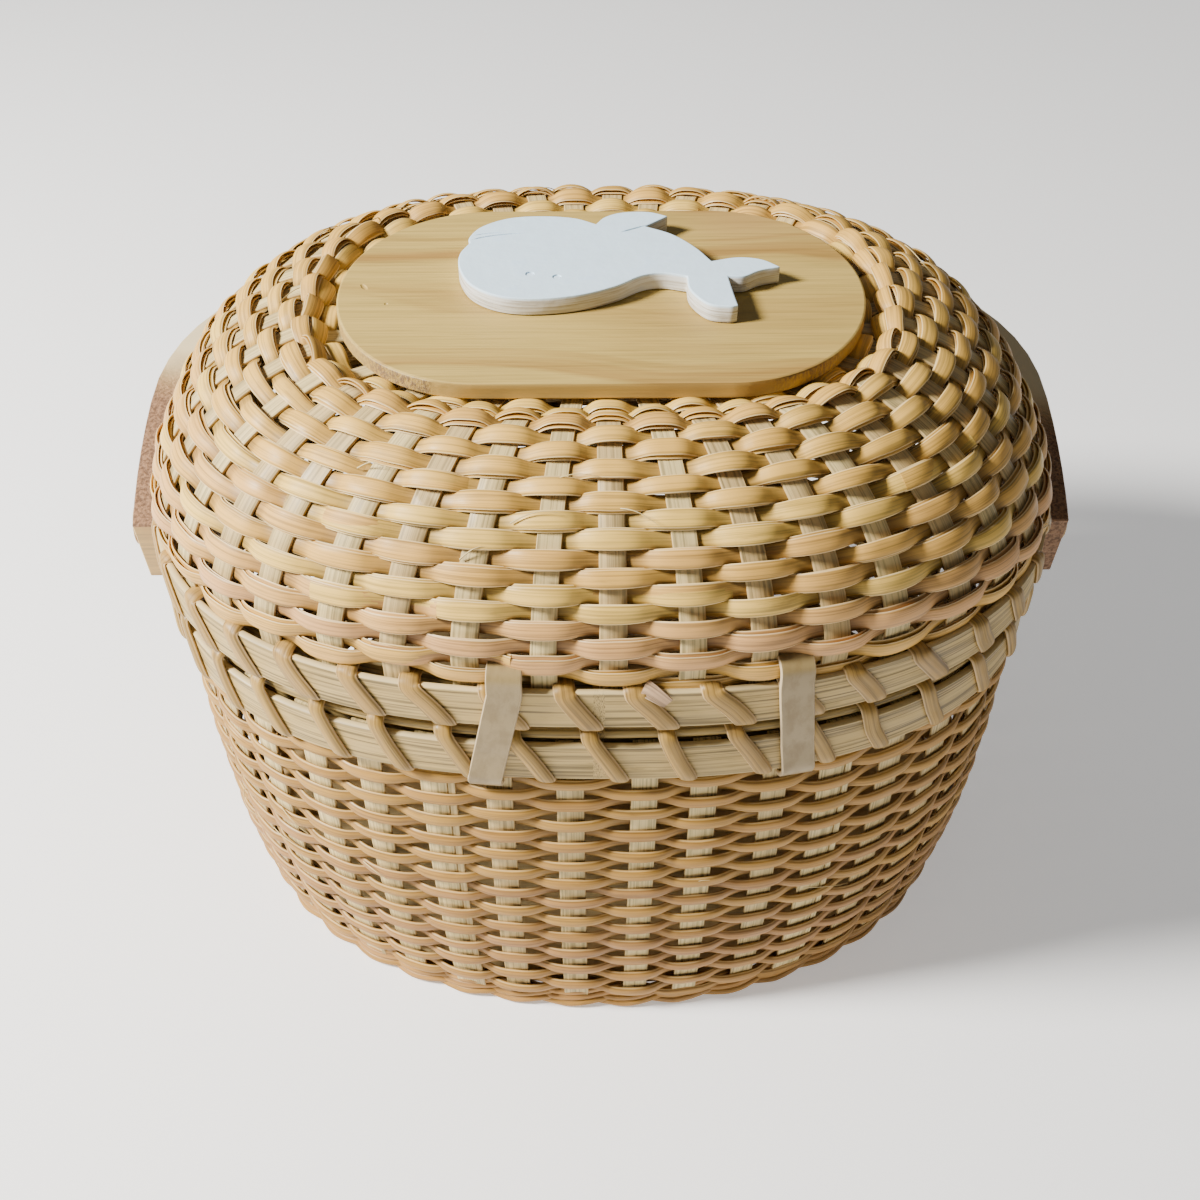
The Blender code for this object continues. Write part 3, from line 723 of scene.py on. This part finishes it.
def foot_twining():
    """Three rows of paired reeds twined round the stakes' ends, with one swelling a stake."""
    strands = Strands()
    a, b = half_sizes("foot_border")
    index = np.arange(0, STAKES + 0.05, 1 / 12)
    columns = 1600
    base = oval_ring(a - 0.0024, b - 0.0024, FOOT_POWER, columns)
    c = (share_at(BODY_STAKES, index) % 1.0 * columns).astype(int)
    along = unit(base[(c + 2) % columns] - base[c - 1])
    normal = np.stack([along[:, 1], -along[:, 0], np.zeros(len(c))], axis=1)
    for row, z in enumerate((0.00165, 0.0042, 0.0066)):
        centre = np.column_stack([base[c], np.full(len(c), z)]) + np.array(CENTRE)
        centre = centre - normal * 0.0003 * row
        for k in range(2):
            phase = math.pi * (index + k + row)
            path = centre + normal * (0.0013 * np.cos(phase))[:, None]
            path[:, 2] = np.maximum(path[:, 2] + 0.0009 * np.sin(phase), LOWEST_REED)
            strands.add(path, normal, 0.0026, 0.0019, ROUND, 0.55 + 0.15 * k + 0.1 * row)
    return strands.build("foot_twining", BODY_REED)


foot = foot_twining()

# ---- plate and whale


SHARP_CORNER = 35.0                  # degrees, on the boards


def slab(name, outline, low, high, edge, rough_edge, material):
    """A flat board cut to an outline, with eased edges and a little roughness on its sides."""
    along = unit(np.roll(outline, -1, axis=0) - np.roll(outline, 1, axis=0))
    inward = np.stack([-along[:, 1], along[:, 0]], axis=1)
    rings = [(low, edge), (low + edge, 0.0)]
    rings += [(low + edge + (high - low - 2 * edge) * t, 0.0) for t in (0.25, 0.5, 0.75)]
    rings += [(high - edge, 0.0), (high - edge * 0.3, edge * 0.3), (high, edge)]
    bm = bmesh.new()
    loops = []
    for z, inset in rings:
        push = inset + rough_edge * (inset == 0.0) * np.abs(RNG.normal(0, 1, len(outline)))
        loops.append([bm.verts.new((x, y, z)) for x, y in outline + inward * push[:, None]])
    n = len(outline)
    for below, above in zip(loops, loops[1:]):
        for i in range(n):
            bm.faces.new((below[i], below[(i + 1) % n], above[(i + 1) % n], above[i]))
    bm.faces.new(list(reversed(loops[0])))
    bm.faces.new(loops[-1])
    return finished(name, mesh_from(name, bm), material, SHARP_CORNER)


def prism(name, outline, low, high, edge, material):
    """A flat board of any outline, with its corners and edges rounded by a bevel."""
    bm = bmesh.new()
    bottom = bm.faces.new([bm.verts.new((x, y, low)) for x, y in outline])
    raised = bmesh.ops.extrude_face_region(bm, geom=[bottom])["geom"]
    for vert in raised:
        if isinstance(vert, bmesh.types.BMVert):
            vert.co.z = high
    item = finished(name, mesh_from(name, bm), material, SHARP_CORNER)
    bevel = item.modifiers.new("Ease", "BEVEL")
    bevel.width, bevel.segments = edge, 2
    bevel.limit_method, bevel.angle_limit = "ANGLE", math.radians(50)
    item.data = evaluated_mesh(item)
    item.modifiers.clear()
    return item


def racetrack(a, b, straight, centre, count=220):
    """An oval with a straight stretch, from -straight to straight, on each long side."""
    angle = np.linspace(0, 2 * math.pi, count, endpoint=False) + math.pi / count
    x = (a - straight) * np.cos(angle) + np.copysign(straight, np.cos(angle))
    return np.stack([x + centre.x, b * np.sin(angle) + centre.y], axis=1)


def carve(item, cutters):
    """Cuts closed cutter meshes out of a board, and leaves its top and bottom shaded flat."""
    for tool in cutters:
        cut = item.modifiers.new("Cut", "BOOLEAN")
        cut.operation, cut.solver, cut.object = "DIFFERENCE", "EXACT", tool
        mesh = evaluated_mesh(item)
        item.modifiers.clear()
        item.data = mesh
        bpy.data.objects.remove(tool)
    item.data.set_sharp_from_angle(angle=math.radians(SHARP_CORNER))
    for face in item.data.polygons:
        face.use_smooth = abs(face.normal.z) < 0.999


def scribe(points, width, top, depth):
    """A cutter for a V groove along points (x, y), tapering at both ends."""
    bm = bmesh.new()
    points = np.asarray(points, float)
    along = unit(np.gradient(points, axis=0))
    side = np.stack([-along[:, 1], along[:, 0]], axis=1)
    share = np.linspace(0, 1, len(points))
    half = width / 2 * np.clip(np.sin(math.pi * share) * 1.6, 0.25, 1)
    rings = []
    for (x, y), (sx, sy), h in zip(points, side, half):
        rings.append([bm.verts.new((x + sx * h * 3, y + sy * h * 3, top + depth)),
                      bm.verts.new((x, y, top - depth * h / width * 2)),
                      bm.verts.new((x - sx * h * 3, y - sy * h * 3, top + depth))])
    for first, second in zip(rings, rings[1:]):
        for i in range(3):
            bm.faces.new((first[i], first[(i + 1) % 3], second[(i + 1) % 3], second[i]))
    bm.faces.new(rings[0][::-1])
    bm.faces.new(rings[-1])
    bmesh.ops.recalc_face_normals(bm, faces=bm.faces)
    return add_object("groove", mesh_from("groove", bm))


def pit(x, y, z, radius, squash=1.0, turn=0.0):
    """A cutter for a shallow dent, or for the dip round a brad."""
    bm = bmesh.new()
    bmesh.ops.create_icosphere(bm, subdivisions=3, radius=radius)
    turned = Matrix.Rotation(turn, 4, "Z") @ Matrix.Diagonal((1, squash, 1, 1))
    bmesh.ops.transform(bm, matrix=Matrix.Translation((x, y, z)) @ turned, verts=bm.verts)
    return add_object("pit", mesh_from("pit", bm))


plate_a, plate_b = half_sizes("lid_plate")
plate = slab("plate", racetrack(plate_a, plate_b, 0.032, middle("lid_plate")), PLATE_LOW,
             PLATE_HIGH, edge=0.0006, rough_edge=0.00006, material=PLATE_PINE)
carve(plate, [pit(-0.0655, -0.0080, PLATE_HIGH + 0.0006, 0.0010, 2.4, 0.5),
              pit(-0.0585, -0.0175, PLATE_HIGH + 0.0004, 0.0007)])

WHALE_RUNS = (                       # tenths of a millimetre from the origin
    # belly, from the mouth to the root of the tail
    ((-370, 75), (-394, 5), (-388, -80), (-350, -170), (-275, -230), (-180, -246), (-65, -227),
     (35, -180), (108, -122), (165, -106), (233, -125)),
    # near fluke
    ((233, -125), (238, -200), (280, -275), (335, -292), (360, -286)),
    ((360, -286), (353, -220), (345, -126)),
    # far fluke
    ((345, -126), (390, -126), (435, -94), (493, -74)),
    ((493, -74), (445, -30), (380, -17), (306, -38)),
    # back
    ((306, -38), (265, 45), (205, 123), (130, 174)),
    # fin
    ((130, 174), (197, 237)),
    ((197, 237), (140, 265), (65, 262), (15, 234), (-12, 189)),
    # head
    ((-12, 189), (-75, 227), (-170, 241), (-265, 228), (-340, 176), (-372, 110), (-370, 75)),
)


def smooth_run(points, steps=7):
    """A Catmull-Rom curve through the points, without its last point."""
    points = np.asarray(points, float)
    guide = np.concatenate([[2 * points[0] - points[1]], points, [2 * points[-1] - points[-2]]])
    curve = []
    for a, b, c, d in zip(guide, guide[1:], guide[2:], guide[3:]):
        for t in np.arange(steps) / steps:
            curve.append(0.5 * (2 * b + (c - a) * t + (2 * a - 5 * b + 4 * c - d) * t ** 2
                                + (3 * b - a - 3 * c + d) * t ** 3))
    return curve


def make_whale():
    outline = []
    for run in WHALE_RUNS:
        outline += smooth_run(np.array(run) / 10000)
    item = prism("whale", outline, WHALE_LOW, WHALE_HIGH, 0.00045, WHITE_PAINT)
    fin = np.linspace((0.0132, 0.0178), (0.0058, 0.0136), 8)
    mouth = smooth_run([(-0.0366, 0.0092), (-0.0330, 0.0110), (-0.0270, 0.0126), (-0.0200, 0.0134)])
    lip = smooth_run([(-0.0362, 0.0120), (-0.0320, 0.0132), (-0.0265, 0.0138)])
    cutters = [scribe(fin, 0.0005, WHALE_HIGH, 0.0016), scribe(mouth, 0.0004, WHALE_HIGH, 0.0010),
               scribe(lip, 0.00028, WHALE_HIGH, 0.0006)]
    for number in (1, 2):
        brad = f"whale_brad_{number}"
        spot = middle(brad)
        cutters.append(pit(spot.x, spot.y, WHALE_HIGH, half_sizes(brad)[0] + 0.0003))
    carve(item, cutters)
    return item


def white_paint():
    """Cool white paint, brushed on thick. Its top face is bluish, which is painted sky light; the
    cut sides are creamier and darker and show the wood's layers, partly the wood's own colour and
    partly painted shade.
    """
    s = Shader("white_paint", 0.5, Coat_Weight=0.08, Coat_Roughness=0.35)
    x, y, z = s.place()
    brush = s.noise(s.scaled((x, 0.35), y, z), 420.0, 4.0, 0.6, 0.6)
    lumps = s.noise(s.combine(x, y, z), 170.0, 3.0, 0.55)
    layers = s.noise(s.scaled((x, 60.0), (y, 60.0), (z, 1900.0)), 1.0, 3.0, 0.6)
    # the top face gets the bluish colour of painted sky light, the sides a darker cut colour that
    # is partly painted shade
    top = s.spread(z, WHALE_HIGH - 0.0009, WHALE_HIGH - 0.0002)
    cut = s.mix(s.spread(layers, 0.42, 0.70), (0.74, 0.73, 0.68), (0.44, 0.39, 0.31))
    face = s.mix(s.spread(lumps, 0.52, 0.75, 0.0, 0.5), (0.69, 0.87, 1.0), (0.58, 0.76, 0.96))
    height = s.plus(s.times(brush, 0.4), lumps)
    rough = s.spread(lumps, 0.3, 0.7, 0.34, 0.60)
    return s.finish(s.mix(top, cut, face), rough, height, 0.00030, 0.55)


WHITE_PAINT = white_paint()
whale = make_whale()

# ---- straps


def leather():
    """Undyed strap leather: fine pores, faint mottling and pale worn edges."""
    s = Shader("strap_leather", 0.42, Coat_Weight=0.05, Coat_Roughness=0.4)
    along, across, tint = s.grain()
    pores = s.noise(s.combine(along, across, tint), 2600.0, 2.0, 0.6)
    mottle = s.noise(s.scaled((along, 0.6), across, tint), 240.0, 3.0, 0.6)
    colour = s.mix(s.spread(mottle, 0.38, 0.66), (0.285, 0.205, 0.086), (0.230, 0.158, 0.060))
    worn = s.spread(s.attribute("edge").outputs["Fac"], 0.90, 1.0, 0.0, 0.75)
    colour = s.mix(worn, colour, (0.60, 0.47, 0.29))
    return s.finish(colour, s.spread(mottle, 0.3, 0.7, 0.34, 0.50), pores, 0.00008, 0.5)


def off_the_back(x, push, z):
    """A point at x and z, push outside the lid's rim at the back, and the direction out there."""
    a, b = LID_A, LID_B
    y = -b * (1 - np.abs(x / a) ** RIM_POWER) ** (1 / RIM_POWER)
    slope = np.array([np.sign(x) * np.abs(x / a) ** (RIM_POWER - 1) / a,
                      -np.abs(y / b) ** (RIM_POWER - 1) / b])
    away = slope / np.linalg.norm(slope)
    return (x + away[0] * push + CENTRE.x, y + away[1] * push + CENTRE.y, z), away


def make_strap(side, top_x, bottom_x, material):
    """One strip over both hoops, with its ends tucked into the weave above and below. The guide
    gives its profile: how far it is outside the lid's hoop, and its height."""
    face = STRAP_T / 2 + 0.0003
    step = BODY_B - LID_B
    guide = [(-0.0070, LID_HIGH + 0.0050), (-0.0042, LID_HIGH + 0.0068),
             (-0.0012, LID_HIGH + 0.0068), (0.0010, LID_HIGH + 0.0050),
             (face + 0.0003, LID_HIGH + 0.0012),
             (face, (LID_LOW + LID_HIGH) / 2), (face, LID_LOW + 0.0010),
             (face + step * 0.6, BODY_HIGH + 0.0012), (face + step, BODY_HIGH - 0.0020),
             (face + step, (BODY_LOW + BODY_HIGH) / 2), (face + step, BODY_LOW + 0.0006),
             (step - 0.0006, BODY_LOW - 0.0026), (step - 0.0036, BODY_LOW - 0.0042),
             (step - 0.0062, BODY_LOW - 0.0040)]
    profile = np.array(smooth_run(guide, 6) + [guide[-1]])
    share = np.clip((LID_HIGH - profile[:, 1]) / (LID_HIGH - BODY_LOW), 0, 1)
    path, out = [], []
    for x, (push, z) in zip(top_x + (bottom_x - top_x) * share, profile):
        point, away = off_the_back(x, push, z)
        path.append(point)
        out.append((*away, 0.0))
    path, out = np.array(path), np.array(out)
    tangent = unit(np.gradient(path, axis=0))
    across = unit(np.cross(np.array([0.0, 0.0, 1.0]), out))
    face_out = unit(np.cross(across, tangent))
    middle_one = len(path) // 2
    face_out = face_out * np.sign(np.dot(face_out[middle_one], out[middle_one]))
    strands = Strands()
    strands.add(path, face_out, STRAP_W, STRAP_T, SPLINT, 0.3 if side == "left" else 0.7)
    item = strands.build("strap_" + side, material)
    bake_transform(item)
    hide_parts(f"strap_{side}_lid", f"strap_{side}_body")


LEATHER = leather()
make_strap("left", -0.0250, -0.0315, LEATHER)
make_strap("right", 0.0475, 0.0508, LEATHER)

# ---- handle and small parts


HANDLE_HALF = 0.012                  # half the width of the handle's strip


def handle_wood():
    """Bent hardwood strip: fine grain round the bend, with a rough brown stretch on its edges near
    the pivots and pale edges beyond it. The pale edges are partly painted light and reach lower on
    the right arm as painted light, and the right arm's end face is darkened as bark and painted
    shade.
    reach is the distance from the pivot line along the arms, and across is over their width."""
    s = Shader("handle_wood", 0.5)
    pivot = middle("pivot_peg_left")
    cosine, sine = math.cos(REST_ANGLE), math.sin(REST_ANGLE)
    x, y, z = s.place()
    dy, dz = s.minus(y, pivot.y), s.minus(z, pivot.z)
    reach = s.plus(s.times(dy, cosine), s.times(dz, sine))
    across = s.minus(s.times(dz, cosine), s.times(dy, sine))
    place = s.combine(x, reach, across)
    lines = s.noise(s.scaled((x, 30.0), (reach, 30.0), (across, 900.0)), 1.0, 3.0, 0.65)
    drift = s.noise(place, 38.0, 3.0, 0.55)
    pores = s.noise(place, 900.0, 3.0, 0.7)
    colour = s.mix(s.spread(drift, 0.38, 0.66), (0.57, 0.37, 0.12), (0.44, 0.255, 0.070))
    colour = s.shade(colour, s.spread(lines, 0.32, 0.60, 0.74, 1.05))
    edge = s.spread(s.math("ABSOLUTE", across), HANDLE_HALF - 0.0008, HANDLE_HALF - 0.0002)
    right = s.spread(x, 0.0, 0.01)
    # on the right arm the pale stretch reaches lower: painted light
    ragged_and_lit = s.plus(s.times(drift, 0.02), s.times(right, 0.018))
    near = s.spread(s.plus(reach, ragged_and_lit), 0.048, 0.074, 1.0, 0.0)
    # the right arm's end face in the dark bark colour: rough bark and painted shade
    right_end_bark_and_shade = s.times(s.spread(reach, -0.0112, -0.0104, 1.0, 0.0), right)    # the arm's end
    bark_and_end_shade = s.math("MAXIMUM", s.times(edge, near), right_end_bark_and_shade)
    pale_edge_and_light = s.times(edge, s.minus(1.0, near))
    bark = s.mix(s.spread(pores, 0.36, 0.62), (0.12, 0.060, 0.028), (0.30, 0.165, 0.085))
    # the pale edges: the wood's pale edge, brightened as painted light
    colour = s.mix(s.times(pale_edge_and_light, 0.8), colour, (0.70, 0.60, 0.38))
    colour = s.mix(bark_and_end_shade, colour, bark)
    rough = s.plus(s.spread(lines, 0.3, 0.7, 0.36, 0.5), s.times(bark_and_end_shade, 0.3))
    coarse = s.times(s.times(pores, bark_and_end_shade), 6.0)
    return s.finish(colour, rough, s.plus(lines, coarse), 0.00014, 0.6)


def turned_wood():
    """Pegs, spacers and buttons, turned with the grain along X."""
    s = Shader("turned_wood", 0.38)
    x, y, z = s.place()
    lines = s.noise(s.scaled((x, 60.0), (y, 700.0), (z, 700.0)), 1.0, 3.0, 0.6)
    colour = s.mix(s.spread(lines, 0.36, 0.64), (0.56, 0.39, 0.19), (0.38, 0.23, 0.10))
    return s.finish(colour, s.spread(lines, 0.3, 0.7, 0.3, 0.46), lines, 0.0001, 0.4)


def brushed_steel():
    """Dulled steel of the screws in the backing."""
    s = Shader("steel", 0.32, Metallic=1.0)
    x, y, z = s.place()
    worn = s.noise(s.combine(x, y, z), 1800.0, 3.0, 0.6)
    colour = s.mix(s.spread(worn, 0.4, 0.7), (0.58, 0.57, 0.55), (0.36, 0.34, 0.31))
    return s.finish(colour, s.spread(worn, 0.3, 0.7, 0.26, 0.5), worn, 0.00003, 0.3)


def finish_node(node, material):
    """Gives a CAD node that stays in view its material."""
    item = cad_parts[node]
    item.data.materials.clear()
    item.data.materials.append(material)


TURNED_WOOD, STEEL = turned_wood(), brushed_steel()
finish_node("handle", handle_wood())
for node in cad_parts:
    if node.startswith("pivot_"):
        finish_node(node, TURNED_WOOD)
    elif node.startswith("whale_brad"):
        finish_node(node, WHITE_PAINT)         # painted over with the whale
    elif node.startswith("plate_screw"):
        finish_node(node, STEEL)
    elif node in ("base_board", "lid_backing"):
        finish_node(node, BOARD_PINE)

# ---- loose fibres


def hairs(name, shell, low, high, count):
    """Stray fibres that have sprung out of the weave between two heights."""
    strands = Strands()
    for _ in range(count):
        share, height = RNG.uniform(0, 1), RNG.uniform(low, high)
        length = RNG.uniform(0.006, 0.018)
        t = np.linspace(0, 1, 14)
        turn = RNG.uniform(-0.5, 0.5)
        course = share + t * length * math.cos(turn) / RIM_ROUND
        climb = height + t * length * math.sin(turn) + 0.0012 * np.sin(t * math.pi)
        point, normal = shell.at(course, climb)
        lift = 0.0012 + RNG.uniform(0.0008, 0.0028) * np.sin(t * math.pi * RNG.uniform(0.5, 1.0))
        strands.add(point + normal * lift[:, None], normal, 0.00038 * (1.15 - t), 0.00022, RIBBON,
                    RNG.uniform(0, 0.4))
    return strands.build(name, STAKE_WOOD)


lid_hairs = hairs("lid_fibres", DOME, lid_first + 0.004, lid_last - 0.012, 16)
body_hairs = hairs("body_fibres", WALL, 0.012, WALL.length * 0.8, 26)


def frayed_end(name):
    """A cut end of reed folded over the lid's hoop beside a lashing at the back."""
    strands = Strands()
    path, out = [], []
    steps = 12
    for t in np.linspace(0, 1, steps):
        push = -0.0008 + 0.0020 * math.sin(math.pi / 2 * t)
        point, away = off_the_back(0.0095 + 0.0060 * t, push, LID_HIGH + 0.0012 - 0.0036 * t ** 1.5)
        path.append(point)
        out.append((*away, 0.9 * (1 - t)))
    strands.add(path, np.array(out), np.linspace(0.0046, 0.0034, steps), 0.0006, SPLINT, 0.9)
    return strands.build(name, CUT_REED)


frayed = frayed_end("frayed_end")

# ---- bodies, with each piece's slot listed, and the CAD nodes that pieces replace

RIDES = (
    (lid_weave, "lid", "lid_weave", "lid_dome"),
    (lid_weave_under, "lid", "lid_weave"),
    (lid_stakes, "lid", "lid_weave"),
    (lid_lashing, "lid", "lashing"),
    (lid_outer, "lid", "bamboo", "lid_outer_hoop"),
    (lid_inner, "lid", "bamboo", "lid_inner_hoop"),
    (plate, "lid", "pine", "lid_plate"),
    (whale, "lid", "white_paint", "whale_plaque"),
    (lid_hairs, "lid", "lid_weave"),
    (frayed, "lid", "lashing"),
    (body_weave, "body", "body_weave", "body_wall"),
    (body_stakes, "body", "body_weave"),
    (body_lashing, "body", "lashing"),
    (body_outer, "body", "bamboo", "body_outer_hoop"),
    (body_inner, "body", "bamboo", "body_inner_hoop"),
    (rim_core, "body", "bamboo", "body_rim_core"),
    (foot, "body", "body_weave", "foot_border"),
    (body_hairs, "body", "body_weave"),
)
for piece, body, finish_slot, *nodes in RIDES:
    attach(piece, body)
    if nodes:
        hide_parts(*nodes)

# ---- studio


def looking(item, place, target):
    """Puts a light or camera at a place, looking at a target."""
    item.location = place
    item.rotation_euler = (target - place).to_track_quat("-Z", "Y").to_euler()


def studio():
    half = 6.0
    corners = [(-half, -half, 0), (half, -half, 0), (half, half, 0), (-half, half, 0)]
    sheet = bpy.data.meshes.new("floor")
    sheet.from_pydata(corners, [], [(0, 1, 2, 3)])
    floor = add_object("floor", sheet)
    floor.location.z = -0.0003
    pale = Shader("floor_paper", 0.9, Emission_Color=(1.0, 1.0, 1.0, 1.0), Emission_Strength=0.38)
    sheet.materials.append(pale.finish((0.90, 0.90, 0.90)))
    world = bpy.data.worlds.new("studio")
    world.use_nodes = True
    background = world.node_tree.nodes["Background"]
    background.inputs["Color"].default_value = (1.0, 1.0, 1.0, 1.0)
    background.inputs["Strength"].default_value = 0.15
    bpy.context.scene.world = world
    light = bpy.data.lights.new("key", "AREA")
    light.shape = "DISK"
    light.size, light.energy, light.color = 0.30, 64.0, (1.0, 0.97, 0.92)
    looking(add_object("key", light), CENTRE + Vector((-1.05, -0.24, 0.95)),
            CENTRE + Vector((0, 0, 0.10)))


def camera():
    data = bpy.data.cameras.new("camera")
    data.lens, data.sensor_width = 45.0, 36.0
    data.clip_start = 0.01
    data.shift_x = -0.001
    item = add_object("camera", data)
    distance, elevation, turn = 0.488, math.radians(40.33), math.radians(-0.59)
    target = CENTRE + Vector((0, 0, 0.0849))
    back = Vector((math.sin(turn) * math.cos(elevation), -math.cos(turn) * math.cos(elevation),
                   math.sin(elevation)))
    looking(item, target + back * distance, target)
    bpy.context.scene.camera = item


studio()
camera()
